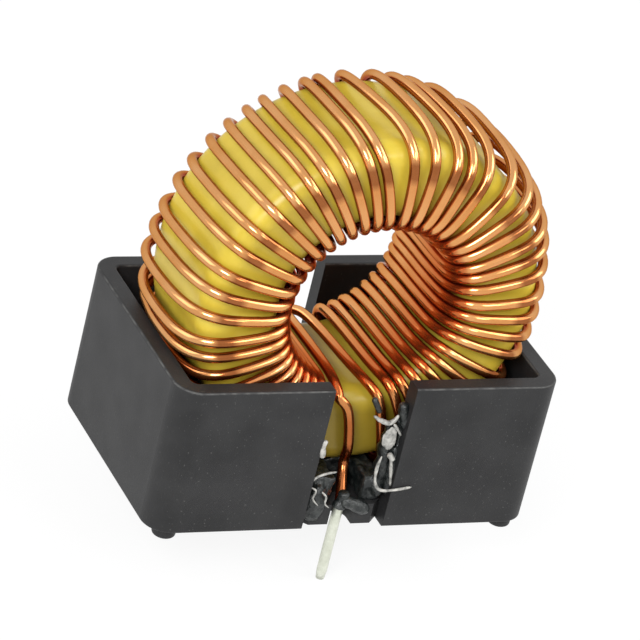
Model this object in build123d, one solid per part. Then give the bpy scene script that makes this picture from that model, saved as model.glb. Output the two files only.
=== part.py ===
"""Toroidal inductor: one layer of enamelled wire on a yellow powder core, standing on edge
in a black slotted holder and bonded there with adhesive.

Lengths are millimetres and angles degrees. The origin is the centre of the footprint on the
circuit board, +Z is up, X runs along the holder, and the front slot faces -Y.
"""
import os
from math import copysign, cos, radians, sin, sqrt

from build123d import *

# Core
core_outer_diameter = 26.9
core_inner_diameter = 14.5
core_height = 11.1
core_edge_radius = 1.5

# Wire, and how far its turns stand off the core: outside, in the bore and on both faces
wire_diameter = 0.78
wire_gap = 0.01
outer_bulge = 0.7
bore_bulge = 0.6
bore_gap = 0.04
face_bulge = 0.42
outer_fullness = 3.1
bore_fullness = 4.0
wire_sides = 6

# The turns are looser at the inner bends behind, and a few at the upper right bulge outwards
back_bulge = 0.5
slack_bulge = 0.44
slack_angle = 38.0
slack_spread = 28.0

# Winding, counted anticlockwise from the lower right as seen from the front
first_turn_angle = -75.0
last_turn_angle = 248.2
gap_shares = (
    1.15, 0.88, 1.06, 1.06, 1.03, 1.01, 1.18, 0.96, 0.97, 0.99, 1.22, 1.03, 0.92, 1.13,
    0.88, 0.97, 1.12, 0.88, 0.88, 0.94, 1.00, 0.96, 0.97, 0.92, 1.03, 0.97, 0.97, 1.04,
    1.15, 1.20, 1.20, 1.08, 1.08, 1.03, 0.96, 1.01, 0.88, 0.88, 0.88, 0.88, 0.88, 0.88,
)
outer_lean_shares = (
    0.00, 0.03, 0.05, 0.06, 0.08, 0.09, 0.11, 0.13, 0.10, 0.08, 0.05, 0.02, 0.00, -0.12,
    -0.26, -0.20, -0.06, 0.26, 0.42, 0.42, 0.35, 0.39, 0.97, 0.52, 0.49, 0.36, 0.13, 0.06,
    -0.04, -0.10, -0.32, -0.36, -0.52, -0.56, -0.32, -0.58, -0.65, -0.55, -0.48, -0.40, -0.33, -0.25,
    -0.15,
)

# Sweeps round the section at which a turn bends, and those between which it moves on to the next
turn_sweeps = (30, 0, -30, -45, -60, -90, -120, -135, -150, -180, -210, -225, -240, -270, -300, -315)
advance_start_sweep = -120
advance_end_sweep = -240

# Tinned ends of the wire, which are the pins that go through the board
pin_diameter = 0.8
pin_inset = 1.3
pin_reach = 4.5
pin_tip_radius = 0.15
head_angle = 12.4
tail_angle = -23.0
lead_sweeps = (-60, -85, -105)
lead_bend_shares = (-0.25, -0.15, 0.3)

# Holder
wall_height = 12.0
wall_thickness = 1.45
floor_thickness = 1.7
corner_radius = 2.0
rim_radius = 0.2
slot_width = 6.6
front_gap = 0.72
back_gap = 2.28
end_room = 0.6
end_gap = 0.06
seat_gap = 0.2

# Floor tongue that shows in each slot
tongue_setback = 0.6
tongue_corner = 0.8
notch_width = 1.9
notch_depth = 1.75

# Feet
foot_diameter = 1.8
foot_height = 0.75
foot_edge_radius = 0.25
foot_inset_x = 1.75
foot_inset_y = 1.25

# Adhesive: a bed under the core, a lump and a bead in the front slot
bed_side_gap = 0.45
bed_end_gap = 0.5
bed_rise = 0.4
lead_channel_width = 2.4
lead_channel_shift = 0.35
lead_channel_reach = 0.5
lump_width = 2.0
lump_depth = 1.5
lump_height = 3.4
bead_width = 1.3
bead_depth = 1.3
bead_height = 7.2

# One overrun for every cut
overrun = 1.0

# Sizes that follow from those above
core_outer_radius = core_outer_diameter / 2
core_inner_radius = core_inner_diameter / 2
wire_radius = wire_diameter / 2
turn_count = len(gap_shares) + 1
mean_pitch_angle = (last_turn_angle - first_turn_angle) / len(gap_shares)
pitch_unit_angle = (last_turn_angle - first_turn_angle) / sum(gap_shares)
closest_angle = pitch_unit_angle * min(gap_shares)
turn_inner_radius = core_inner_radius - bore_bulge - wire_radius
bore_seat_radius = core_inner_radius - bore_gap - wire_radius
turn_outer_radius = core_outer_radius + outer_bulge + wire_radius
turn_middle_radius = (turn_inner_radius + turn_outer_radius) / 2
turn_half_height = core_height / 2 + face_bulge + wire_radius
coil_half_depth = turn_half_height + wire_radius

# In the bore the turns lie side by side; a wire too thick for that lies a step further in at
# every second turn
closest_chord = 2 * bore_seat_radius * sin(radians(closest_angle / 2))
bore_step = sqrt(max(0, (wire_diameter + wire_gap) ** 2 - closest_chord ** 2))

cavity_width = 2 * coil_half_depth + front_gap + back_gap
cavity_length = core_outer_diameter + 2 * end_room
holder_length = cavity_length + 2 * wall_thickness
holder_width = cavity_width + 2 * wall_thickness
floor_top = foot_height + floor_thickness
rim_top = foot_height + wall_height
tongue_reach = holder_width / 2 - tongue_setback
coil_y = front_gap + coil_half_depth - cavity_width / 2
coil_z = floor_top + seat_gap + turn_outer_radius + wire_radius
pin_y = holder_width / 2 - pin_inset
bed_top = coil_z - core_outer_radius + bed_rise


def both_ends(shape):
    """The shape and its copy turned half round the vertical axis."""
    return [shape, Rot(Z=180) * shape]


def make_holder():
    """Open box with rounded corners, slotted through both long walls, on four feet."""
    outer = extrude(RectangleRounded(holder_length, holder_width, corner_radius), wall_height)
    outer = Pos(Z=foot_height) * outer
    outer = fillet(outer.edges().group_by(Axis.Z)[0], rim_radius)
    inner_radius = corner_radius - wall_thickness
    cavity = extrude(RectangleRounded(cavity_length, cavity_width, inner_radius), wall_height)
    holder = outer - Pos(Z=floor_top) * cavity
    holder = fillet(holder.edges().group_by(Axis.Z)[-1], rim_radius)

    slot_depth = holder_width + 2 * overrun
    slot = extrude(Rectangle(slot_width, slot_depth), wall_height)
    holder -= Pos(Z=floor_top) * slot
    holder -= both_ends(make_tongue_cut())

    foot_x = holder_length / 2 - foot_inset_x
    foot_y = holder_width / 2 - foot_inset_y
    foot = Cylinder(foot_diameter / 2, foot_height, align=(Align.CENTER, Align.CENTER, Align.MIN))
    foot = fillet(foot.edges().group_by(Axis.Z)[0], foot_edge_radius)
    holder += [place * foot for place in GridLocations(2 * foot_x, 2 * foot_y, 2, 2)]
    return holder


def make_tongue_cut():
    """What is cut from the floor in the front slot: the setback, both corners and the wire notch."""
    half_slot = slot_width / 2
    front = -holder_width / 2 - overrun
    edge = -tongue_reach
    outline = Polyline(
        (-half_slot, front),
        (-half_slot, edge + tongue_corner),
        (-half_slot + tongue_corner, edge),
        (half_slot - tongue_corner, edge),
        (half_slot, edge + tongue_corner),
        (half_slot, front),
        close=True,
    )
    notch_end = edge + notch_depth
    notch = SlotOverall(2 * (notch_end - front), notch_width, rotation=90)
    profile = make_face(outline) + Pos(Y=front) * notch
    cut = extrude(profile, floor_thickness + foot_height + overrun)
    return cut & Box(slot_width, 2 * holder_width, 2 * floor_top)


def make_core():
    """Toroid of rectangular section with rounded edges, its axis along Y."""
    middle_radius = (core_outer_radius + core_inner_radius) / 2
    section_width = core_outer_radius - core_inner_radius
    section = RectangleRounded(section_width, core_height, core_edge_radius)
    return Pos(0, coil_y, coil_z) * revolve(Pos(X=middle_radius) * section, Axis.Y)


def squared(value, fullness):
    """A sine or cosine pushed outwards, which makes an oval into a squarish turn."""
    return copysign(abs(value) ** (2 / fullness), value)


def turn_point(angle, sweep, lean, bore_radius):
    """Centre of the wire at an angle round the core and a sweep round its section.

    Sweep 0 is the outer run, 90 the back face, 180 the bore and -90 the front face. The outer
    run leans by some degrees, and the bore run comes no further in than a radius.
    """
    in_bore = cos(radians(sweep)) < 0
    fullness = bore_fullness if in_bore else outer_fullness
    across = squared(cos(radians(sweep)), fullness)
    along = squared(sin(radians(sweep)), fullness)
    leaned = radians(angle + lean * (1 + across) / 2)
    slack_share = max(0, 1 - ((angle - slack_angle) / slack_spread) ** 2)
    half_width = turn_outer_radius - turn_middle_radius
    half_width += back_bulge * max(0, along) if in_bore else slack_bulge * slack_share
    radius = pressed_in(turn_middle_radius + across * half_width, leaned)
    radius = max(radius, bore_radius)
    return Vector(
        radius * cos(leaned),
        coil_y + along * turn_half_height,
        coil_z + radius * sin(leaned),
    )


def pressed_in(radius, angle):
    """The radius, or less below the rim, where the end walls press the turns in."""
    if coil_z + radius * sin(angle) > rim_top + wire_radius:
        return radius
    side_room = cavity_length / 2 - end_gap - wire_radius
    return min(radius, side_room / abs(cos(angle)))


def turn_angles():
    """Angle of each turn where it meets the bore, from the last turn to the first."""
    angles = [first_turn_angle]
    for share in gap_shares:
        angles.append(angles[-1] + share * pitch_unit_angle)
    return angles[::-1]


def bore_radii(angles):
    """Radius of each turn's run through the bore, where neighbours just clear each other."""
    gaps = [abs(after - before) for before, after in zip(angles, angles[1:])]
    radii = []
    for turn, gap in enumerate(map(min, gaps[:1] + gaps, gaps + gaps[-1:])):
        clear_radius = (wire_diameter + wire_gap) / (2 * sin(radians(gap / 2)))
        radius = min(bore_seat_radius, max(turn_inner_radius, clear_radius))
        radii.append(radius - bore_step * (turn % 2))
    return radii


def loop_points(angles, leans, bore_radius, sweeps):
    """Points of one loop, which moves from its own angle and lean to the next loop's."""
    points = []
    for sweep in sweeps:
        share = (advance_start_sweep - sweep) / (advance_start_sweep - advance_end_sweep)
        share = min(1, max(0, share))
        angle = angles[0] + share * (angles[1] - angles[0])
        lean = leans[0] + share * (leans[1] - leans[0])
        points.append(turn_point(angle, sweep, lean, bore_radius))
    return points


def lead_points(bore_angle, middle_angle, side):
    """Points of a lead from its pin up the middle of a face; side is -1 in front, 1 at the back."""
    points = [Vector(0, side * pin_y, 0), Vector(0, side * pin_y, floor_top)]
    for sweep, share in zip(lead_sweeps, lead_bend_shares):
        angle = middle_angle + share * (bore_angle - middle_angle)
        points.append(turn_point(angle, -side * sweep, 0, 0))
    return points


def wire_route():
    """Centre line of the whole wire, from the front pin to the back pin."""
    angles = turn_angles()
    leans = [share * mean_pitch_angle for share in outer_lean_shares[::-1]]
    head = angles[0] + head_angle
    tail = angles[-1] + tail_angle
    head_sweeps = [sweep for sweep in turn_sweeps if sweep <= advance_start_sweep]
    tail_sweeps = [sweep for sweep in turn_sweeps if sweep >= advance_end_sweep]

    angles = [head] + angles + [tail]
    leans = [0] + leans + [0]
    radii = bore_radii(angles[:-1])
    points = lead_points(head, 270, -1)
    points += loop_points(angles[:2], leans[:2], radii[0], head_sweeps)
    for turn in range(1, turn_count):
        ends = slice(turn, turn + 2)
        points += loop_points(angles[ends], leans[ends], radii[turn], turn_sweeps)
    points += loop_points(angles[-2:], leans[-2:], radii[-1], tail_sweeps)
    return points + lead_points(tail, -90, 1)[::-1]


def make_wire(route):
    """Wire of regular polygon section along straight runs, mitred where they meet."""
    runs = [(end - start).normalized() for start, end in zip(route, route[1:])]
    bends = [(before + after).normalized() for before, after in zip(runs, runs[1:])]
    mitres = bends + [runs[-1]]
    start_plane = Plane(route[0], z_dir=runs[0])
    corners = [
        start_plane.from_local_coords(Vector(wire_radius, 0, 0).rotate(Axis.Z, turn))
        for turn in [360 * side / wire_sides for side in range(wire_sides)]
    ]
    rings = [corners]
    for run, mitre, centre in zip(runs, mitres, route[1:]):
        corners = [
            corner + run * ((centre - corner).dot(mitre) / run.dot(mitre)) for corner in corners
        ]
        rings.append(corners)

    faces = [flat_face(rings[0][::-1]), flat_face(rings[-1])]
    for near, far in zip(rings, rings[1:]):
        for side in range(wire_sides):
            after = (side + 1) % wire_sides
            faces.append(flat_face([near[side], near[after], far[after], far[side]]))
    return Solid(Shell(faces))


def flat_face(corners):
    """Flat face through its corners."""
    return Face(Wire.make_polygon(corners, close=True))


def make_pin():
    """Tinned front end of the wire below the floor, round, with an eased tip."""
    length = pin_reach + foot_height
    pin = Cylinder(pin_diameter / 2, length, align=(Align.CENTER, Align.CENTER, Align.MIN))
    pin = fillet(pin.edges().group_by(Axis.Z)[0], pin_tip_radius)
    return Pos(0, -pin_y, -pin_reach) * pin


def make_winding():
    """The whole wire as one piece: its turns, both leads and their tinned ends."""
    return make_wire(wire_route()) + both_ends(make_pin())


def make_adhesive(holder, core):
    """Bed between floor and core, with the lump and the bead that show in the front slot."""
    half_slot = slot_width / 2
    bed_width = slot_width - 2 * bed_side_gap
    bed_length = 2 * (tongue_reach - bed_end_gap)
    bed_height = bed_top - floor_top
    bed = Pos(Z=floor_top) * extrude(Rectangle(bed_width, bed_length), bed_height)
    lump = scale(Sphere(1), by=(lump_width / 2, lump_depth / 2, lump_height / 2))
    lump = Pos(-half_slot + lump_width / 2, -tongue_reach + lump_depth / 4, floor_top) * lump
    bead = scale(Sphere(1), by=(bead_width / 2, bead_depth / 2, bead_height / 2))
    bead_z = floor_top + bead_height / 2
    bead = Pos(half_slot - bead_width / 2, -tongue_reach + bead_depth / 2, bead_z) * bead
    channel = Box(lead_channel_width, holder_width, 2 * rim_top)
    channel_offset = (core_height + holder_width) / 2 - lead_channel_reach
    adhesive = bed + lump + bead
    adhesive -= Pos(lead_channel_shift, coil_y - channel_offset) * channel
    adhesive -= Pos(lead_channel_shift, coil_y + channel_offset) * channel
    return adhesive - core - holder


def main():
    os.makedirs("parts", exist_ok=True)
    holder = make_holder()
    core = make_core()
    pieces = {
        "holder": holder,
        "core": core,
        "winding": make_winding(),
        "adhesive": make_adhesive(holder, core),
    }
    for name, piece in pieces.items():
        export_step(piece, f"parts/{name}.step")


main()
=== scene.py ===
"""Looks of the toroidal inductor: smooth enamelled wire, coated core, moulded holder and set
adhesive with stray strands of glue, on a white studio floor. Metres, in the frame's own axes.
"""

from math import copysign, cos, pi, radians, sin

import bmesh
import bpy
from mathutils import Matrix, Vector, noise


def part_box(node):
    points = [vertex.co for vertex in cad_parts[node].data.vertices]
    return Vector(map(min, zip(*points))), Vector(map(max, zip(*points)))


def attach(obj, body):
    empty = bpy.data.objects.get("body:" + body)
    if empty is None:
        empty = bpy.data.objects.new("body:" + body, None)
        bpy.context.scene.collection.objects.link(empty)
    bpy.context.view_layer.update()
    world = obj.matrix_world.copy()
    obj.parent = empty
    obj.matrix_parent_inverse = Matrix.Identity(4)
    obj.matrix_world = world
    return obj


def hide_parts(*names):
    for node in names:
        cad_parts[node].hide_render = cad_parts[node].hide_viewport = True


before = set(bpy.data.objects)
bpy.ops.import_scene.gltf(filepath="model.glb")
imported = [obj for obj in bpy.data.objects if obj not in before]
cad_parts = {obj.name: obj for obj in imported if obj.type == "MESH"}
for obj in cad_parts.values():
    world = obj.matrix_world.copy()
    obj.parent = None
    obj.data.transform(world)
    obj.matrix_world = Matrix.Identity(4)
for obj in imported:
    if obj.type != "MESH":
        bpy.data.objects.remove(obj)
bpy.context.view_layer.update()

MM = 0.001

# Sizes that the wire's route follows, as in the part; the leans of three turns at the upper right
# are set a little closer to the photograph
core_outer_radius = 26.9 * MM / 2
core_inner_radius = 14.5 * MM / 2
core_height = 11.1 * MM
wire_diameter = 0.78 * MM
wire_gap = 0.01 * MM
outer_bulge = 0.7 * MM
bore_bulge = 0.6 * MM
bore_gap = 0.04 * MM
face_bulge = 0.42 * MM
outer_fullness = 3.1
bore_fullness = 4.0
back_bulge = 0.5 * MM
slack_bulge = 0.44 * MM
slack_angle = 38.0
slack_spread = 28.0
first_turn_angle = -75.0
last_turn_angle = 248.2
gap_shares = (
    1.15, 0.88, 1.06, 1.06, 1.03, 1.01, 1.18, 0.96, 0.97, 0.99, 1.22, 1.03, 0.92, 1.13,
    0.88, 0.97, 1.12, 0.88, 0.88, 0.94, 1.00, 0.96, 0.97, 0.92, 1.03, 0.97, 0.97, 1.04,
    1.15, 1.20, 1.20, 1.08, 1.08, 1.03, 0.96, 1.01, 0.88, 0.88, 0.88, 0.88, 0.88, 0.88,
)
outer_lean_shares = (
    0.00, 0.03, 0.05, 0.06, 0.08, 0.09, 0.11, 0.13, 0.10, 0.08, 0.05, 0.02, 0.00, -0.12,
    -0.26, -0.20, 0.04, 0.26, 0.27, 0.12, 0.35, 0.39, 0.97, 0.52, 0.49, 0.36, 0.13, 0.06,
    -0.04, -0.10, -0.32, -0.36, -0.52, -0.56, -0.32, -0.58, -0.65, -0.55, -0.48, -0.40, -0.33, -0.25,
    -0.15,
)
advance_start_sweep = -120
advance_end_sweep = -240
turn_start_sweep = 30
pin_radius = 0.4 * MM
pin_inset = 1.3 * MM
head_angle = 12.4
tail_angle = -23.0
lead_sweeps = (-60, -85, -105)
lead_bend_shares = (-0.25, -0.15, 0.3)
wall_thickness = 1.45 * MM
floor_thickness = 1.7 * MM
front_gap = 0.72 * MM
end_gap = 0.06 * MM
seat_gap = 0.2 * MM
foot_height = 0.75 * MM

# Camera that sees the part as the photograph does, in holder lengths, degrees and pixels
camera_place_shares = (-4.68805, -8.28360, 5.49266)
camera_azimuth = -29.4006
camera_elevation = 28.22
camera_roll = 14.1771
focal_pixels = 4516.14
image_pixels = 640
sensor_width = 36

# Glue in the front slot, as pixels of the photograph and depths behind the holder's front face
black_runs = (
    ("edge_glue_top", 0.9 * MM, 0.46 * MM, ((404, 403), (404, 411), (405, 419), (403, 430))),
    ("edge_glue_middle", 1.0 * MM, 0.30 * MM, ((399, 418), (401, 428), (400, 438), (397, 450))),
    ("edge_glue_low", 0.9 * MM, 0.42 * MM, ((396, 446), (393, 462), (389, 480), (386, 500))),
    ("lead_cover", 0.6 * MM, 0.50 * MM, ((345, 491), (343, 497), (340, 503), (338, 508))),
    ("lead_glue", 0.4 * MM, 0.48 * MM, ((340, 503), (347, 502), (356, 505), (368, 511))),
    ("turn_glue", 1.0 * MM, 0.26 * MM, ((374, 398), (377, 405), (380, 413))),
)
pale_runs = (
    ("band_left", 0.8 * MM, 0.17 * MM, ((374, 416), (380, 420), (388, 423), (394, 421), (399, 415))),
    ("band_right", 0.5 * MM, 0.11 * MM, ((394, 424), (398, 430), (401, 436))),
    ("knot", 0.4 * MM, 0.24 * MM, ((389, 454), (391, 457), (393, 460))),
    ("drip", 0.35 * MM, 0.13 * MM, ((391, 458), (391, 470), (390, 486))),
    ("loop", -0.1 * MM, 0.12 * MM, ((382, 456), (377, 468), (375, 482), (380, 490), (394, 490), (412, 487))),
    ("lump_strand", 0.2 * MM, 0.08 * MM, ((308, 494), (309, 485), (316, 478), (326, 474), (337, 472))),
    ("lump_curl", 0.15 * MM, 0.07 * MM, ((310, 487), (316, 491), (313, 499), (318, 506))),
    ("lump_speck", 0.15 * MM, 0.07 * MM, ((322, 492), (326, 497), (325, 504), (329, 508))),
    ("left_dab", 0.1 * MM, 0.24 * MM, ((326, 440), (323, 448), (322, 458))),
)
film_pixel = (390.5, 438)
film_depth = 0.6 * MM
film_size = Vector((1.15, 0.3, 1.8)) * MM
film_unevenness = 0.35
film_grain = 3
glue_parts = 8
glue_sides = 12
glue_end_share = 0.15
glue_end_fullness = 6
glue_unevenness = 0.4
glue_grain = 0.7 * MM

# How far the outer runs slant towards the back, in degrees, and how much more on some turns, which
# are numbered from the first turn's angle; then where the runs lie closer or looser: angle, spread
# and reach
outer_slant_angle = 3.0
more_slant_angles = {16: 1.0, 17: 3.0, 18: 5.2, 19: 5.0, 20: 2.2, 21: 5.0}
reach_changes = (
    (12.0, 34.0, -0.22 * MM),
    (145.0, 40.0, -0.22 * MM),
    (192.0, 20.0, 0.28 * MM),
)

# How finely the wire is drawn, and how uneven a hand-wound turn is
sweep_step = 6
lead_parts = 8
wire_sides = 14
smoothing_passes = 3
wobble = 0.045 * MM
wobble_grain = 7 * MM
wobble_depth_share = 0.5
wobble_seed = 1
still_height_share = 0.5

# Lamps: name, azimuth and elevation in degrees, width in metres and power in watts
lamp_distance = 0.4
lamps = (
    ("key", -44, 33, 0.15, 1.25),
    ("front", 16, 34, 0.12, 0.35),
    ("left", -110, 30, 0.3, 0.5),
    ("right", 65, 40, 0.25, 0.8),
)

# Sizes that follow
holder_low, holder_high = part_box("holder")
wire_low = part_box("winding")[0]
wire_radius = wire_diameter / 2
mean_pitch_angle = (last_turn_angle - first_turn_angle) / len(gap_shares)
pitch_unit_angle = (last_turn_angle - first_turn_angle) / sum(gap_shares)
turn_inner_radius = core_inner_radius - bore_bulge - wire_radius
bore_seat_radius = core_inner_radius - bore_gap - wire_radius
turn_outer_radius = core_outer_radius + outer_bulge + wire_radius
turn_middle_radius = (turn_inner_radius + turn_outer_radius) / 2
turn_half_height = core_height / 2 + face_bulge + wire_radius
cavity_width = holder_high.y - holder_low.y - 2 * wall_thickness
cavity_length = holder_high.x - holder_low.x - 2 * wall_thickness
floor_top = foot_height + floor_thickness
rim_top = holder_high.z
coil_y = front_gap + turn_half_height + wire_radius - cavity_width / 2
coil_z = floor_top + seat_gap + turn_outer_radius + wire_radius
pin_y = holder_high.y - pin_inset
pin_tip = wire_low.z


# Route of the wire

def squared(value, fullness):
    """A sine or cosine pushed outwards, which makes an oval into a squarish turn."""
    return copysign(abs(value) ** (2 / fullness), value)


def pressed_in(radius, angle):
    """The radius, or less below the rim, where the end walls press the turns in."""
    if coil_z + radius * sin(angle) > rim_top + wire_radius:
        return radius
    side_room = cavity_length / 2 - end_gap - wire_radius
    return min(radius, side_room / abs(cos(angle)))


def outer_reach(angle):
    """How much further out than the plain turn the outer run lies at an angle."""
    reach = slack_bulge * max(0, 1 - ((angle - slack_angle) / slack_spread) ** 2)
    for middle, spread, change in reach_changes:
        reach += change * max(0, 1 - ((angle - middle) / spread) ** 2)
    return reach


def turn_point(angle, sweep, lean, slant, bore_radius):
    """Centre of the wire at an angle round the core and a sweep round its section, in degrees."""
    in_bore = cos(radians(sweep)) < 0
    fullness = bore_fullness if in_bore else outer_fullness
    across = squared(cos(radians(sweep)), fullness)
    along = squared(sin(radians(sweep)), fullness)
    slanted = slant * max(0, across) * (1 + along) / 2
    leaned = radians(angle + lean * (1 + across) / 2 + slanted)
    half_width = turn_outer_radius - turn_middle_radius
    half_width += back_bulge * max(0, along) if in_bore else outer_reach(angle)
    radius = pressed_in(turn_middle_radius + across * half_width, leaned)
    radius = max(radius, bore_radius)
    return Vector((
        radius * cos(leaned),
        coil_y + along * turn_half_height,
        coil_z + radius * sin(leaned),
    ))


def turn_angles():
    """Angle of each turn where it meets the bore, from the last turn to the first."""
    angles = [first_turn_angle]
    for share in gap_shares:
        angles.append(angles[-1] + share * pitch_unit_angle)
    return angles[::-1]


def bore_radii(angles):
    """Radius of each turn's run through the bore, where neighbours just clear each other."""
    gaps = [abs(after - before) for before, after in zip(angles, angles[1:])]
    radii = []
    for gap in map(min, gaps[:1] + gaps, gaps + gaps[-1:]):
        clear_radius = (wire_diameter + wire_gap) / (2 * sin(radians(gap / 2)))
        radii.append(min(bore_seat_radius, max(turn_inner_radius, clear_radius)))
    return radii


def loop_points(angles, leans, slants, bore_radius, sweeps):
    """Points of one loop, which moves from its own angle, lean and slant to the next loop's."""
    points = []
    for sweep in sweeps:
        share = (advance_start_sweep - sweep) / (advance_start_sweep - advance_end_sweep)
        share = min(1, max(0, share))
        angle = angles[0] + share * (angles[1] - angles[0])
        lean = leans[0] + share * (leans[1] - leans[0])
        slant = slants[0] + share * (slants[1] - slants[0])
        points.append(turn_point(angle, sweep, lean, slant, bore_radius))
    return points


def lead_points(bore_angle, middle_angle, side):
    """Points of a lead from its pin up the middle of a face; side is -1 in front, 1 at the back."""
    points = [Vector((0, side * pin_y, height)) for height in (pin_tip, foot_height, floor_top)]
    for sweep, share in zip(lead_sweeps, lead_bend_shares):
        angle = middle_angle + share * (bore_angle - middle_angle)
        points.append(turn_point(angle, -side * sweep, 0, 0, 0))
    return points


def smooth_line(points, parts):
    """Catmull-Rom curve through the points, each gap cut into some parts."""
    padded = [2 * points[0] - points[1]] + points + [2 * points[-1] - points[-2]]
    line = []
    for before, near, far, after in zip(padded, padded[1:], padded[2:], padded[3:]):
        for part in range(parts):
            share = part / parts
            line.append(0.5 * (
                2 * near + (far - before) * share
                + (2 * before - 5 * near + 4 * far - after) * share ** 2
                + (3 * near - before - 3 * far + after) * share ** 3
            ))
    return line + [points[-1]]


def wire_route():
    """Centre line of the whole wire, from the front pin to the back pin."""
    angles = turn_angles()
    leans = [share * mean_pitch_angle for share in outer_lean_shares[::-1]]
    numbers = range(len(leans))
    slants = [outer_slant_angle + more_slant_angles.get(number, 0) for number in numbers][::-1]
    head = angles[0] + head_angle
    tail = angles[-1] + tail_angle
    sweeps = range(turn_start_sweep, turn_start_sweep - 360, -sweep_step)
    head_sweeps = [sweep for sweep in sweeps if sweep <= advance_start_sweep]
    tail_sweeps = [sweep for sweep in sweeps if sweep >= advance_end_sweep]

    angles = [head] + angles + [tail]
    leans = [0] + leans + [0]
    slants = [0] + slants + [0]
    radii = bore_radii(angles[:-1])
    first = loop_points(angles[:2], leans[:2], slants[:2], radii[0], head_sweeps)
    route = smooth_line(lead_points(head, 270, -1) + first[:2], lead_parts) + first[2:]
    for turn in range(1, len(angles) - 2):
        ends = slice(turn, turn + 2)
        route += loop_points(angles[ends], leans[ends], slants[ends], radii[turn], sweeps)
    last = loop_points(angles[-2:], leans[-2:], slants[-2:], radii[-1], tail_sweeps)
    return route + last[:-2] + smooth_line(last[-2:] + lead_points(tail, -90, 1)[::-1], lead_parts)


def settle(route):
    """Rounds the joins of the route and gives each turn its small unevenness."""
    for _ in range(smoothing_passes):
        route = (
            route[:1]
            + [(a + 2 * b + c) / 4 for a, b, c in zip(route, route[1:], route[2:])]
            + route[-1:]
        )
    # Without a seed, noise_vector draws its offsets from the clock
    noise.seed_set(wobble_seed)
    grain = 1 / wobble_grain
    moved = []
    for point in route:
        shift = noise.noise_vector(point * grain)
        shift.y *= wobble_depth_share
        free = min(1, max(0, (point.z - rim_top * still_height_share) / rim_top))
        moved.append(point + shift * wobble * free)
    return moved


# Photograph's view

def camera_pose():
    """Pose of the camera from its angles and its place."""
    azimuth, elevation, roll = radians(camera_azimuth), radians(camera_elevation), radians(camera_roll)
    back = Vector((sin(azimuth) * cos(elevation), -cos(azimuth) * cos(elevation), sin(elevation)))
    level = Vector((0, 0, 1)).cross(back).normalized()
    upright = back.cross(level)
    right = cos(roll) * level + sin(roll) * upright
    up = -sin(roll) * level + cos(roll) * upright
    pose = Matrix((right, up, back)).transposed().to_4x4()
    length = holder_high.x - holder_low.x
    pose.translation = Vector(camera_place_shares) * length + Vector((0, 0, foot_height))
    return pose


def seen_at(pixel, depth):
    """Point that the photograph shows at a pixel, at a depth behind the holder's front face."""
    pose = camera_pose()
    middle = image_pixels / 2
    ray = pose.to_3x3() @ Vector((pixel[0] - middle, middle - pixel[1], -focal_pixels))
    start = pose.translation
    return start + ray * ((holder_low.y + depth - start.y) / ray.y)


# Meshes

def new_piece(name, mesh, material):
    """A shaded object that rides on the part and may take its finish from a slot."""
    piece = bpy.data.objects.new(name, mesh)
    bpy.context.scene.collection.objects.link(piece)
    mesh.materials.append(material)
    mesh.shade_smooth()
    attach(piece, "root")
    return piece


def tube_mesh(name, line, radii, sides):
    """Round tube along a line, with a radius at each point and closed ends."""
    tangents = [(b - a).normalized() for a, b in zip(line, line[1:])]
    tangents = (
        tangents[:1]
        + [(a + b).normalized() for a, b in zip(tangents, tangents[1:])]
        + tangents[-1:]
    )
    across = tangents[0].orthogonal().normalized()
    build = bmesh.new()
    rings = []
    for centre, tangent, radius in zip(line, tangents, radii):
        across = (across - tangent * across.dot(tangent)).normalized()
        other = tangent.cross(across)
        ring = []
        for side in range(sides):
            turn = 2 * pi * side / sides
            ring.append(build.verts.new(centre + radius * (across * cos(turn) + other * sin(turn))))
        rings.append(ring)
    for near, far in zip(rings, rings[1:]):
        for side in range(sides):
            after = (side + 1) % sides
            build.faces.new((near[side], near[after], far[after], far[side]))
    build.faces.new(rings[0][::-1])
    build.faces.new(rings[-1])
    bmesh.ops.recalc_face_normals(build, faces=build.faces)
    mesh = bpy.data.meshes.new(name)
    build.to_mesh(mesh)
    build.free()
    return mesh


def wire_radii(route):
    """Radius along the wire: the tinned ends are a little thicker and eased at their tips."""
    blend_length = 0.8 * MM
    tip_length = 0.15 * MM
    tip_share = 0.8
    radii = []
    for point in route:
        tinned = min(1, max(0, (foot_height + blend_length - point.z) / blend_length))
        radius = wire_radius + tinned * (pin_radius - wire_radius)
        if point.z < pin_tip + tip_length:
            radius *= tip_share
        radii.append(radius)
    return radii


# Materials

def new_material(name):
    """A material, its node tree and its main shader."""
    made = bpy.data.materials.new(name)
    made.use_nodes = True
    tree = made.node_tree
    return made, tree, tree.nodes["Principled BSDF"]


def add(tree, kind, inputs, **settings):
    """A node with its settings; an input is a value or another node's output."""
    made = tree.nodes.new(kind)
    for key, value in settings.items():
        setattr(made, key, value)
    for key, value in inputs.items():
        if isinstance(value, bpy.types.NodeSocket):
            tree.links.new(value, made.inputs[key])
        else:
            made.inputs[key].default_value = value
    return made


def place_of(tree):
    """Position on the object, in metres."""
    return tree.nodes.new("ShaderNodeTexCoord").outputs["Object"]


def noise_of(tree, size, detail, roughness=0.5):
    """Noise whose features are about a size across."""
    made = add(tree, "ShaderNodeTexNoise", {
        "Vector": place_of(tree), "Scale": 1 / size, "Detail": detail, "Roughness": roughness,
    })
    return made.outputs["Fac"]


def ramp_of(tree, factor, stops):
    """Colour ramp with stops of place and colour."""
    made = add(tree, "ShaderNodeValToRGB", {"Fac": factor})
    elements = made.color_ramp.elements
    while len(elements) < len(stops):
        elements.new(0.5)
    for element, (place, colour) in zip(elements, stops):
        element.position = place
        element.color = (*colour, 1)
    return made.outputs["Color"]


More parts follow.
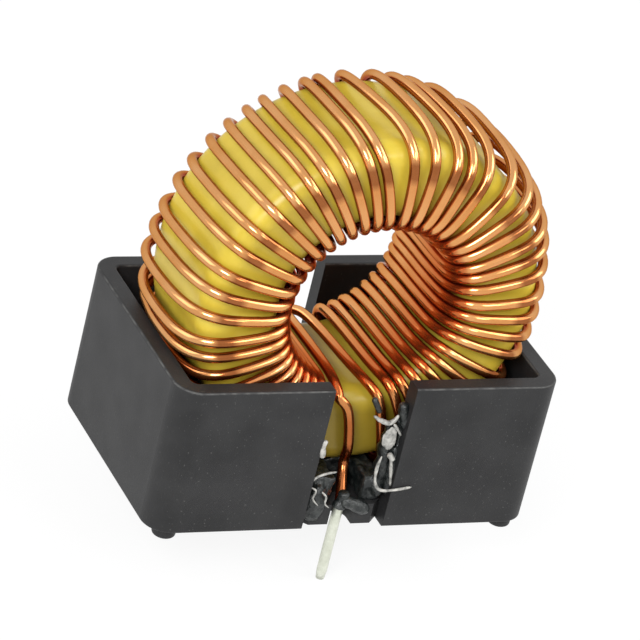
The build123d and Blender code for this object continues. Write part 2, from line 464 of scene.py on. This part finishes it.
def times(tree, first, second):
    """Product of two colours."""
    made = add(tree, "ShaderNodeMix", {"Factor": 1.0, "A": first, "B": second},
               data_type="RGBA", blend_type="MULTIPLY")
    return made.outputs["Result"]


def mix_of(tree, factor, first, second):
    """Colour some way from a first colour to a second one."""
    made = add(tree, "ShaderNodeMix", {"Factor": factor, "A": first, "B": second}, data_type="RGBA")
    return made.outputs["Result"]


def share_of(tree, value, start, end, start_share=0.0, end_share=1.0):
    """Number that runs from one share to another while a value goes from its start to its end."""
    made = add(tree, "ShaderNodeMapRange", {
        "Value": value, "From Min": start, "From Max": end, "To Min": start_share, "To Max": end_share,
    })
    return made.outputs["Result"]


def bump_of(tree, height, distance, strength):
    """Bump from a height."""
    inputs = {"Height": height, "Distance": distance, "Strength": strength}
    return add(tree, "ShaderNodeBump", inputs).outputs["Normal"]


def below_rim_shade(tree, shade_tone):
    """White above the holder's rim, and painted shade some way below it, where the walls keep the light off.
    """
    height = add(tree, "ShaderNodeSeparateXYZ", {"Vector": place_of(tree)}).outputs["Z"]
    unshaded_drop = 1 * MM
    shaded_drop = 5 * MM
    share = share_of(tree, height, rim_top - shaded_drop, rim_top - unshaded_drop)
    return ramp_of(tree, share, ((0.2, shade_tone), (1.0, (1.0, 1.0, 1.0))))


def copper_material():
    """Copper under clear enamel, with a painted dark reflection across the front runs and painted shade,
    deep red, in the bore and between the wires.
    """
    made, tree, shader = new_material("enamelled_copper")
    tone = ramp_of(tree, noise_of(tree, size=3.5 * MM, detail=4), (
        (0.3, (0.66, 0.305, 0.10)),
        (0.5, (0.73, 0.36, 0.135)),
        (0.7, (0.76, 0.40, 0.17)),
    ))
    # Painted shade: darker and redder where the wire is closed in, in the bore and between the wires
    open_share = add(tree, "ShaderNodeAmbientOcclusion", {"Distance": 5 * MM}, samples=8).outputs["AO"]
    painted_occlusion_shade = ramp_of(tree, open_share, (
        (0.05, (0.45, 0.13, 0.06)),
        (0.3, (0.72, 0.34, 0.20)),
        (0.6, (1.0, 1.0, 1.0)),
    ))
    from_middle = add(tree, "ShaderNodeVectorMath", {
        0: place_of(tree), 1: (0, coil_y, coil_z),
    }, operation="SUBTRACT").outputs[0]
    sideways = add(tree, "ShaderNodeVectorMath", {
        0: from_middle, 1: (1, 0, 1),
    }, operation="MULTIPLY").outputs[0]
    radius = add(tree, "ShaderNodeVectorMath", {0: sideways}, operation="LENGTH").outputs["Value"]
    outward = share_of(tree, radius, core_inner_radius, core_outer_radius)
    # Painted dark reflection: a brown band across the front runs, some way in from the outer bend
    dark_reflection_band = ramp_of(tree, outward, (
        (0.15, (1.0, 0.95, 0.90)),
        (0.58, (0.93, 0.82, 0.72)),
        (0.68, (0.45, 0.30, 0.23)),
        (0.84, (0.45, 0.30, 0.23)),
        (0.94, (1.0, 0.98, 0.95)),
    ))
    along = add(tree, "ShaderNodeSeparateXYZ", {"Vector": from_middle}).outputs["Y"]
    # Painted shade in the bore: darker and redder towards its front end
    depth_share = share_of(tree, along, -core_height / 2, core_height / 2)
    painted_bore_shade = ramp_of(tree, depth_share, (
        (0.0, (0.72, 0.38, 0.26)),
        (0.25, (0.76, 0.41, 0.28)),
        (0.75, (1.0, 0.92, 0.86)),
    ))
    in_bore = share_of(tree, outward, 0.0, 0.05, start_share=1.0, end_share=0.0)
    # Outer runs a little duller and darker
    outer_tone = ramp_of(tree, outward, (
        (0.5, (1.0, 1.0, 1.0)),
        (1.0, (0.88, 0.86, 0.84)),
    ))
    bore_shade_and_outer_tone = mix_of(tree, in_bore, outer_tone, painted_bore_shade)
    # Painted dark reflection on the front faces of the front runs; elsewhere painted shade in the bore and
    # the duller outer runs
    front_share = share_of(tree, along, -turn_half_height, -turn_half_height + wire_radius)
    by_place = mix_of(tree, front_share, dark_reflection_band, bore_shade_and_outer_tone)
    # Painted shade on the wire below the holder's rim
    lead_shade = below_rim_shade(tree, (0.62, 0.42, 0.34))
    coloured = times(tree, times(tree, tone, painted_occlusion_shade), times(tree, by_place, lead_shade))
    tree.links.new(coloured, shader.inputs["Base Color"])
    grain = noise_of(tree, size=0.6 * MM, detail=3)
    roughness = share_of(tree, grain, 0.0, 1.0, start_share=0.12, end_share=0.22)
    tree.links.new(roughness, shader.inputs["Roughness"])
    shader.inputs["Metallic"].default_value = 0.92
    shader.inputs["Specular Tint"].default_value = (0.65, 0.40, 0.25, 1)
    shader.inputs["Coat Weight"].default_value = 0.15
    shader.inputs["Coat Roughness"].default_value = 0.08
    return made


def tin_material():
    """Dull tin over the ends of the wire."""
    made, tree, shader = new_material("tinned_end")
    tone = ramp_of(tree, noise_of(tree, size=0.5 * MM, detail=3), (
        (0.3, (0.58, 0.60, 0.50)),
        (0.7, (0.72, 0.74, 0.64)),
    ))
    tree.links.new(tone, shader.inputs["Base Color"])
    shader.inputs["Metallic"].default_value = 0.7
    shader.inputs["Roughness"].default_value = 0.4
    skin = bump_of(tree, noise_of(tree, size=0.4 * MM, detail=2), distance=0.05 * MM, strength=0.5)
    tree.links.new(skin, shader.inputs["Normal"])
    return made


def coating_material():
    """Yellow coating of the core, with painted shade below the rim."""
    made, tree, shader = new_material("yellow_coating")
    tone = ramp_of(tree, noise_of(tree, size=4 * MM, detail=6), (
        (0.3, (0.48, 0.365, 0.033)),
        (0.5, (0.56, 0.43, 0.042)),
        (0.72, (0.61, 0.485, 0.068)),
    ))
    # Painted shade below the rim, where the walls keep the light off
    shaded_tone = times(tree, tone, below_rim_shade(tree, (0.46, 0.42, 0.42)))
    tree.links.new(shaded_tone, shader.inputs["Base Color"])
    shader.inputs["Roughness"].default_value = 0.3
    shader.inputs["Specular IOR Level"].default_value = 0.3
    peel = bump_of(tree, noise_of(tree, size=0.7 * MM, detail=3), distance=0.05 * MM, strength=0.3)
    tree.links.new(peel, shader.inputs["Normal"])
    return made


def plastic_material():
    """Black moulding with fine pale dust, and a lighter line along the rounded edges of its rim where they
    slope upwards, partly wear and partly painted highlight.
    """
    made, tree, shader = new_material("black_moulding")
    tone = ramp_of(tree, noise_of(tree, size=3 * MM, detail=6), (
        (0.35, (0.013, 0.013, 0.0135)),
        (0.65, (0.020, 0.020, 0.0205)),
    ))
    speck = ramp_of(tree, noise_of(tree, size=0.16 * MM, detail=2), (
        (0.68, (0, 0, 0)),
        (0.76, (1, 1, 1)),
    ))
    # Partly wear, partly painted highlight: lighter on the rounded edges that slope upwards
    normal = tree.nodes.new("ShaderNodeNewGeometry").outputs["Normal"]
    slope = add(tree, "ShaderNodeSeparateXYZ", {"Vector": normal}).outputs["Z"]
    edge = ramp_of(tree, slope, (
        (0.3, (0, 0, 0)),
        (0.5, (1, 1, 1)),
        (0.8, (1, 1, 1)),
        (0.93, (0, 0, 0)),
    ))
    rub = ramp_of(tree, noise_of(tree, size=0.8 * MM, detail=4), (
        (0.36, (0, 0, 0)),
        (0.66, (1, 1, 1)),
    ))
    dust = (0.06, 0.06, 0.058, 1)
    worn_and_highlit = (0.075, 0.075, 0.072, 1)
    dusted = mix_of(tree, speck, tone, dust)
    rubbed_and_highlit = mix_of(tree, times(tree, edge, rub), dusted, worn_and_highlit)
    tree.links.new(rubbed_and_highlit, shader.inputs["Base Color"])
    shader.inputs["Roughness"].default_value = 0.5
    shader.inputs["Specular IOR Level"].default_value = 0.28
    grain_height = noise_of(tree, size=0.12 * MM, detail=4, roughness=0.6)
    grain = bump_of(tree, grain_height, distance=0.03 * MM, strength=0.4)
    tree.links.new(grain, shader.inputs["Normal"])
    return made


def adhesive_material():
    """Black adhesive with a lumpy, half glossy skin."""
    made, tree, shader = new_material("set_adhesive")
    tone = ramp_of(tree, noise_of(tree, size=0.5 * MM, detail=4), (
        (0.45, (0.006, 0.008, 0.008)),
        (0.75, (0.038, 0.042, 0.039)),
    ))
    tree.links.new(tone, shader.inputs["Base Color"])
    shader.inputs["Roughness"].default_value = 0.3
    skin = bump_of(tree, noise_of(tree, size=0.25 * MM, detail=4), distance=0.15 * MM, strength=0.8)
    tree.links.new(skin, shader.inputs["Normal"])
    return made


def glue_material():
    """Pale glue of the fine strands."""
    made, tree, shader = new_material("pale_glue")
    tone = ramp_of(tree, noise_of(tree, size=0.4 * MM, detail=3), (
        (0.35, (0.14, 0.14, 0.13)),
        (0.65, (0.41, 0.40, 0.37)),
    ))
    tree.links.new(tone, shader.inputs["Base Color"])
    shader.inputs["Roughness"].default_value = 0.35
    return made


# Pieces

def make_winding():
    """The wire, drawn round, with its ends tinned a little way up through the floor."""
    route = settle(wire_route())
    mesh = tube_mesh("winding", route, wire_radii(route), wire_sides)
    piece = new_piece("enamelled_winding", mesh, copper_material())
    mesh.materials.append(tin_material())
    tin_rise = 1.15 * MM
    for face in mesh.polygons:
        if face.center.z < foot_height + tin_rise:
            face.material_index = 1
    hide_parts("winding")


def make_adhesive():
    """The adhesive with the lumpy skin that it set with."""
    voxel_size = 0.16 * MM
    lump_size = 0.8 * MM
    lump_rise = 0.26 * MM
    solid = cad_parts["adhesive"]
    mesh = solid.data.copy()
    mesh.materials.clear()
    piece = new_piece("set_adhesive", mesh, adhesive_material())
    remesh = piece.modifiers.new("even", "REMESH")
    remesh.mode = "VOXEL"
    remesh.voxel_size = voxel_size
    bpy.context.view_layer.update()
    evaluated = piece.evaluated_get(bpy.context.evaluated_depsgraph_get())
    even = bpy.data.meshes.new_from_object(evaluated)
    piece.modifiers.clear()
    piece.data = even
    starts = [(v.co.copy(), v.normal.copy()) for v in even.vertices]
    for vertex, (co, normal) in zip(even.vertices, starts):
        vertex.co = co + normal * lump_rise * noise.noise(co / lump_size)
    even.shade_smooth()
    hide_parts("adhesive")


def glue_run(name, pixels, depth, radius, material):
    """A run of glue through pixels of the photograph, thin at its ends and uneven between."""
    line = smooth_line([seen_at(pixel, depth) for pixel in pixels], glue_parts)
    radii = []
    for place, point in enumerate(line):
        share = place / (len(line) - 1)
        end = (1 - (2 * share - 1) ** glue_end_fullness) ** 0.5
        even = radius * (glue_end_share + (1 - glue_end_share) * end)
        radii.append(even * (1 + glue_unevenness * noise.noise(point / glue_grain)))
    new_piece(name, tube_mesh(name, line, radii, glue_sides), material)


def make_film(material):
    """Pale film of glue between the right wall and the core."""
    build = bmesh.new()
    bmesh.ops.create_icosphere(build, subdivisions=4, radius=0.5)
    centre = seen_at(film_pixel, film_depth)
    for vertex in build.verts:
        place = vertex.co * (1 + film_unevenness * noise.noise(vertex.co * film_grain))
        vertex.co = centre + place * film_size
    mesh = bpy.data.meshes.new("film")
    build.to_mesh(mesh)
    build.free()
    new_piece("glue_film", mesh, material)


def make_glue():
    """Black glue up the right edge of the front slot, and the pale strands drawn from it."""
    black = adhesive_material()
    for name, depth, radius, pixels in black_runs:
        glue_run(name, pixels, depth, radius, black)
    pale = glue_material()
    for name, depth, radius, pixels in pale_runs:
        glue_run(name, pixels, depth, radius, pale)
    make_film(pale)


def dress_cad():
    """Finishes of the solids that stay as they are."""
    for node, material in (("holder", plastic_material()), ("core", coating_material())):
        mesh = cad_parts[node].data
        mesh.materials.clear()
        mesh.materials.append(material)


# Studio

def make_camera():
    """Camera of the photograph's view."""
    lens = bpy.data.cameras.new("photo_view")
    lens.sensor_width = sensor_width
    lens.lens = sensor_width * focal_pixels / image_pixels
    lens.clip_start = 1 * MM
    camera = bpy.data.objects.new("photo_view", lens)
    camera.matrix_world = camera_pose()
    bpy.context.scene.collection.objects.link(camera)
    bpy.context.scene.camera = camera


def background_rays(tree):
    """1 for the rays that see the background: camera, glossy and transmitted ones."""
    path = tree.nodes.new("ShaderNodeLightPath")
    seen = add(tree, "ShaderNodeMath", {
        0: path.outputs["Is Camera Ray"], 1: path.outputs["Is Glossy Ray"],
    }, operation="MAXIMUM")
    seen = add(tree, "ShaderNodeMath", {
        0: seen.outputs[0], 1: path.outputs["Is Transmission Ray"],
    }, operation="MAXIMUM")
    return seen.outputs[0]


def make_world():
    """White surroundings that light the part at a plain level."""
    world = bpy.data.worlds.new("studio")
    bpy.context.scene.world = world
    world.use_nodes = True
    tree = world.node_tree
    background = tree.nodes["Background"]
    background.inputs["Color"].default_value = (1, 1, 1, 1)
    lit_level = 0.55
    seen_level = 1.0
    seen = background_rays(tree)
    strength = share_of(tree, seen, 0.0, 1.0, start_share=lit_level, end_share=seen_level)
    tree.links.new(strength, background.inputs["Strength"])


def make_floor():
    """White floor at the tips of the pins, which keeps a soft shadow."""
    half = 2.0
    drop = 0.1 * MM
    glow_share = 0.9
    mesh = bpy.data.meshes.new("floor")
    corners = [(-half, -half, 0), (half, -half, 0), (half, half, 0), (-half, half, 0)]
    mesh.from_pydata(corners, [], [(0, 1, 2, 3)])
    floor = bpy.data.objects.new("floor", mesh)
    floor.location.z = pin_tip - drop
    bpy.context.scene.collection.objects.link(floor)
    made, tree, shader = new_material("white_floor")
    shader.inputs["Base Color"].default_value = (0.9, 0.9, 0.9, 1)
    shader.inputs["Roughness"].default_value = 0.9
    glow = add(tree, "ShaderNodeEmission", {"Color": (1, 1, 1, 1), "Strength": 1.0})
    share = add(tree, "ShaderNodeMath", {0: background_rays(tree), 1: glow_share}, operation="MULTIPLY")
    mixed = add(tree, "ShaderNodeMixShader", {
        0: share.outputs[0], 1: shader.outputs["BSDF"], 2: glow.outputs["Emission"],
    })
    tree.links.new(mixed.outputs[0], tree.nodes["Material Output"].inputs["Surface"])
    mesh.materials.append(made)


def make_light(name, azimuth, elevation, width, power):
    """Soft square lamp that faces the coil from an azimuth and elevation."""
    azimuth, elevation = radians(azimuth), radians(elevation)
    away = Vector((sin(azimuth) * cos(elevation), -cos(azimuth) * cos(elevation), sin(elevation)))
    lamp = bpy.data.lights.new(name, "AREA")
    lamp.size = width
    lamp.energy = power
    light = bpy.data.objects.new(name, lamp)
    light.location = Vector((0, 0, coil_z)) + away * lamp_distance
    light.rotation_euler = away.to_track_quat("Z", "Y").to_euler()
    bpy.context.scene.collection.objects.link(light)


make_winding()
make_adhesive()
make_glue()
dress_cad()
make_camera()
make_world()
make_floor()
for lamp in lamps:
    make_light(*lamp)
bpy.context.scene.view_settings.view_transform = "Standard"
